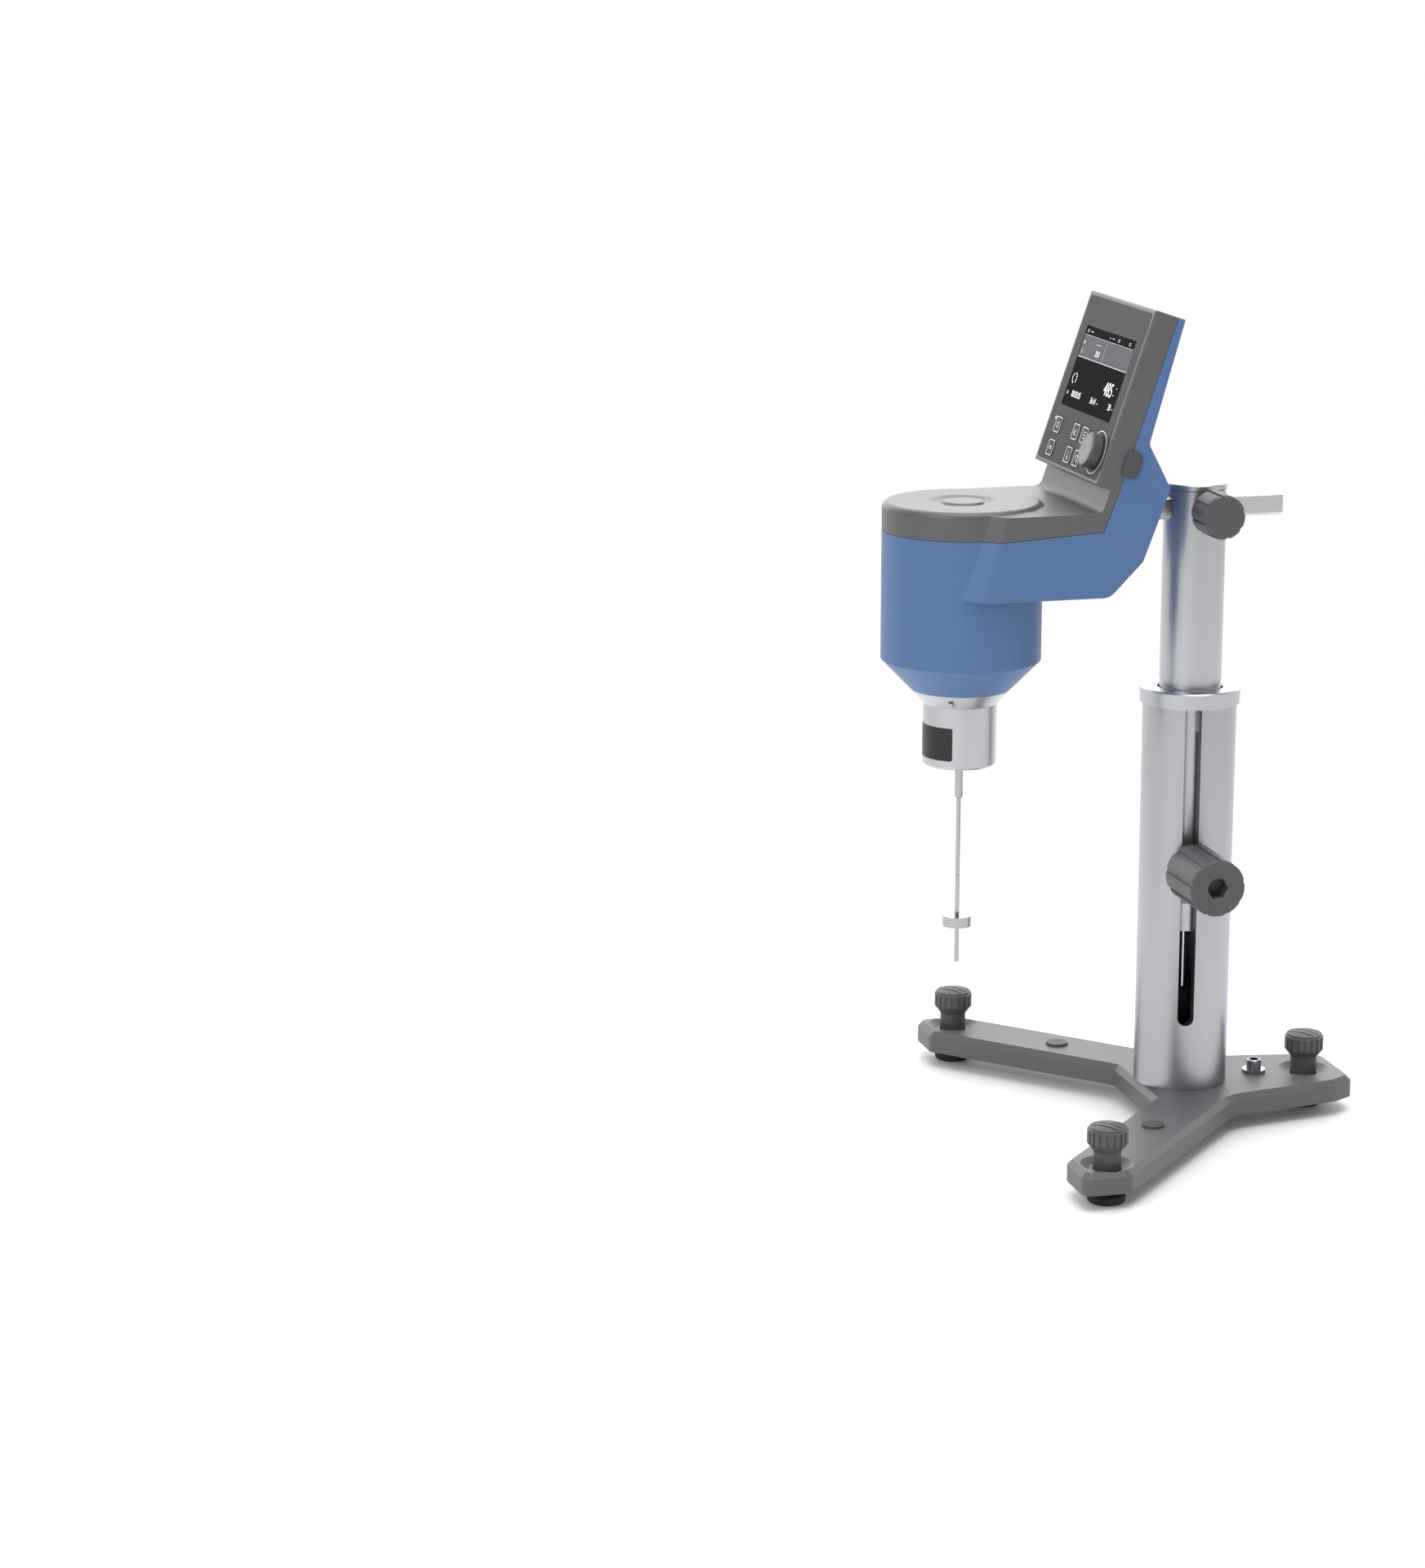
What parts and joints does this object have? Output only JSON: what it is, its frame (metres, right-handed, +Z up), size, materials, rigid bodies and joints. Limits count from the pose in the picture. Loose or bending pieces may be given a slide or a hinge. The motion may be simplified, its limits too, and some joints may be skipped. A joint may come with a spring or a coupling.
{
  "type": "rotational viscometer",
  "caption": "Bench rotational viscometer: tilted display head with a disc spindle, held by a square rod on a telescopic column over a V-shaped levelling base.",
  "frame": {"origin": "on the table, under the middle of the instrument's box", "axes": "+Z up along the column, +Y from the measuring head to the column and the rear foot, +X to the operator's right, who stands at -Y"},
  "size_m": [0.345, 0.317, 0.5339],
  "materials": {
    "base_paint": "satin",
    "satin_aluminium": "satin",
    "bright_steel": "satin",
    "gas_spring_black": "satin",
    "blue_housing": "satin",
    "grey_cover": "satin",
    "panel_grey": "matte",
    "knob_grey": "satin",
    "menu_grey": "satin",
    "key_face": "matte",
    "black_rubber": "matte",
    "bearing_plastic": "matte",
    "brass": "satin",
    "spring_steel": "polished",
    "display_glass": "gloss",
    "display_black": "matte",
    "circuit_board": "satin",
    "led_green": "gloss",
    "motor_case": "satin"
  },
  "bodies": {
    "base": {"base_plate": "base_paint", "leg_plugs": "black_rubber", "accessory_bush": "bright_steel", "column_foot": "satin_aluminium", "column_screws": "bright_steel", "outer_column": "satin_aluminium", "column_collar": "satin_aluminium", "guide_bush": "bearing_plastic", "gas_spring_rod": "bright_steel", "rod_bumper": "black_rubber"},
    "column": {"inner_column": "satin_aluminium", "column_cap": "satin_aluminium", "guide_ring": "bearing_plastic", "rod_holder": "satin_aluminium", "clamp_nut": "bright_steel", "clamp_saddle": "bearing_plastic", "gas_spring_cylinder": "gas_spring_black"},
    "height_knob": {"height_clamp_knob": "knob_grey", "height_clamp_stud": "bright_steel"},
    "rod_knob": {"rod_clamp_knob": "knob_grey", "rod_clamp_stud": "bright_steel"},
    "head": {"support_rod": "bright_steel", "rod_mount": "satin_aluminium", "lower_housing": "blue_housing", "upper_cover": "grey_cover", "head_screws": "bright_steel", "power_inlet": "knob_grey", "control_panel": "panel_grey", "display_glass": "display_glass", "display_module": "display_black", "status_led": "led_green", "switch_board": "circuit_board", "main_board": "circuit_board", "bearing_housing": "satin_aluminium", "hub_nut": "satin_aluminium", "guard_pin": "bright_steel", "ball_bearings": "bright_steel", "motor_plate": "satin_aluminium", "motor": "motor_case"},
    "drive": {"motor_shaft": "bright_steel", "drive_disc": "brass", "torsion_spring": "spring_steel"},
    "measuring": {"measuring_shaft": "bright_steel", "spindle_coupling": "bright_steel", "spindle": "bright_steel"},
    "encoder": {"encoder_shaft": "bright_steel"},
    "menu_knob": {"menu_knob": "menu_grey"},
    "port_flap": {"port_cover": "grey_cover"},
    "pad_front_right": {"foot_pad_front_right": "black_rubber"},
    "screw_front_right": {"foot_screw_front_right": "knob_grey"},
    "pad_front_left": {"foot_pad_front_left": "black_rubber"},
    "screw_front_left": {"foot_screw_front_left": "knob_grey"},
    "pad_rear": {"foot_pad_rear": "black_rubber"},
    "screw_rear": {"foot_screw_rear": "knob_grey"},
    "key_upper_left": {"key_upper_left": "key_face"},
    "key_upper_middle": {"key_upper_middle": "key_face"},
    "key_upper_right": {"key_upper_right": "key_face"},
    "key_lower_left": {"key_lower_left": "key_face"},
    "key_lower_middle": {"key_lower_middle": "key_face"},
    "key_lower_right": {"key_lower_right": "key_face"}
  },
  "joints": [
    {"name": "column_lift", "type": "slide", "parent": "base", "child": "column", "axis": [0, 0, 1], "range_m": [-0.095, 0.095]},
    {"name": "height_knob_turn", "type": "hinge", "parent": "column", "child": "height_knob", "pos_m": [0.0784, 0.0385, 0.172], "axis": [1, 0, 0], "range_deg": [0, 270]},
    {"name": "rod_knob_turn", "type": "hinge", "parent": "column", "child": "rod_knob", "pos_m": [0.051, 0.0465, 0.4029], "axis": [1, 0, 0], "range_deg": [0, 270]},
    {"name": "head_reach", "type": "slide", "parent": "column", "child": "head", "axis": [0, -1, 0], "range_m": [-0.014, 0.034]},
    {"name": "drive_turn", "type": "hinge", "parent": "head", "child": "drive", "pos_m": [0, -0.108, 0.3529], "axis": [0, 0, 1], "continuous": true},
    {"name": "spindle_deflection", "type": "hinge", "parent": "drive", "child": "measuring", "pos_m": [0, -0.108, 0.3409], "axis": [0, 0, 1], "range_deg": [-60, 60], "stiffness_Nm_per_rad": 0.000048},
    {"name": "menu_push", "type": "slide", "parent": "head", "child": "encoder", "axis": [0, 0.9472, -0.3206], "range_m": [0, 0.0005], "stiffness_N_per_m": 3000, "springref_m": -0.0004},
    {"name": "menu_turn", "type": "hinge", "parent": "encoder", "child": "menu_knob", "pos_m": [0.04, -0.03511, 0.4455], "axis": [0, -0.9472, 0.3206], "continuous": true},
    {"name": "port_flap_open", "type": "hinge", "parent": "head", "child": "port_flap", "pos_m": [0.0596, -0.01424, 0.43822], "axis": [0, 0.3206, 0.9472], "range_deg": [0, 120]},
    {"name": "pad_front_right_rise", "type": "slide", "parent": "base", "child": "pad_front_right", "axis": [0, 0, 1], "range_m": [-0.003, 0.003]},
    {"name": "screw_front_right_turn", "type": "hinge", "parent": "pad_front_right", "child": "screw_front_right", "pos_m": [0.1542, -0.0595, 0.024], "axis": [0, 0, 1], "range_deg": [-720, 720]},
    {"name": "pad_front_left_rise", "type": "slide", "parent": "base", "child": "pad_front_left", "axis": [0, 0, 1], "range_m": [-0.003, 0.003]},
    {"name": "screw_front_left_turn", "type": "hinge", "parent": "pad_front_left", "child": "screw_front_left", "pos_m": [-0.1542, -0.0595, 0.024], "axis": [0, 0, 1], "range_deg": [-720, 720]},
    {"name": "pad_rear_rise", "type": "slide", "parent": "base", "child": "pad_rear", "axis": [0, 0, 1], "range_m": [-0.003, 0.003]},
    {"name": "screw_rear_turn", "type": "hinge", "parent": "pad_rear", "child": "screw_rear", "pos_m": [0, 0.1335, 0.024], "axis": [0, 0, 1], "range_deg": [-720, 720]},
    {"name": "key_upper_left_press", "type": "slide", "parent": "head", "child": "key_upper_left", "axis": [0, 0.9472, -0.3206], "range_m": [0, 0.0008], "stiffness_N_per_m": 1500, "springref_m": -0.0004},
    {"name": "key_upper_middle_press", "type": "slide", "parent": "head", "child": "key_upper_middle", "axis": [0, 0.9472, -0.3206], "range_m": [0, 0.0008], "stiffness_N_per_m": 1500, "springref_m": -0.0004},
    {"name": "key_upper_right_press", "type": "slide", "parent": "head", "child": "key_upper_right", "axis": [0, 0.9472, -0.3206], "range_m": [0, 0.0008], "stiffness_N_per_m": 1500, "springref_m": -0.0004},
    {"name": "key_lower_left_press", "type": "slide", "parent": "head", "child": "key_lower_left", "axis": [0, 0.9472, -0.3206], "range_m": [0, 0.0008], "stiffness_N_per_m": 1500, "springref_m": -0.0004},
    {"name": "key_lower_middle_press", "type": "slide", "parent": "head", "child": "key_lower_middle", "axis": [0, 0.9472, -0.3206], "range_m": [0, 0.0008], "stiffness_N_per_m": 1500, "springref_m": -0.0004},
    {"name": "key_lower_right_press", "type": "slide", "parent": "head", "child": "key_lower_right", "axis": [0, 0.9472, -0.3206], "range_m": [0, 0.0008], "stiffness_N_per_m": 1500, "springref_m": -0.0004}
  ],
  "couplings": [
    {"joint": "screw_front_right_turn", "follows": "pad_front_right_rise", "rad_per_m": 4188},
    {"joint": "screw_front_left_turn", "follows": "pad_front_left_rise", "rad_per_m": 4188},
    {"joint": "screw_rear_turn", "follows": "pad_rear_rise", "rad_per_m": 4188}
  ]
}
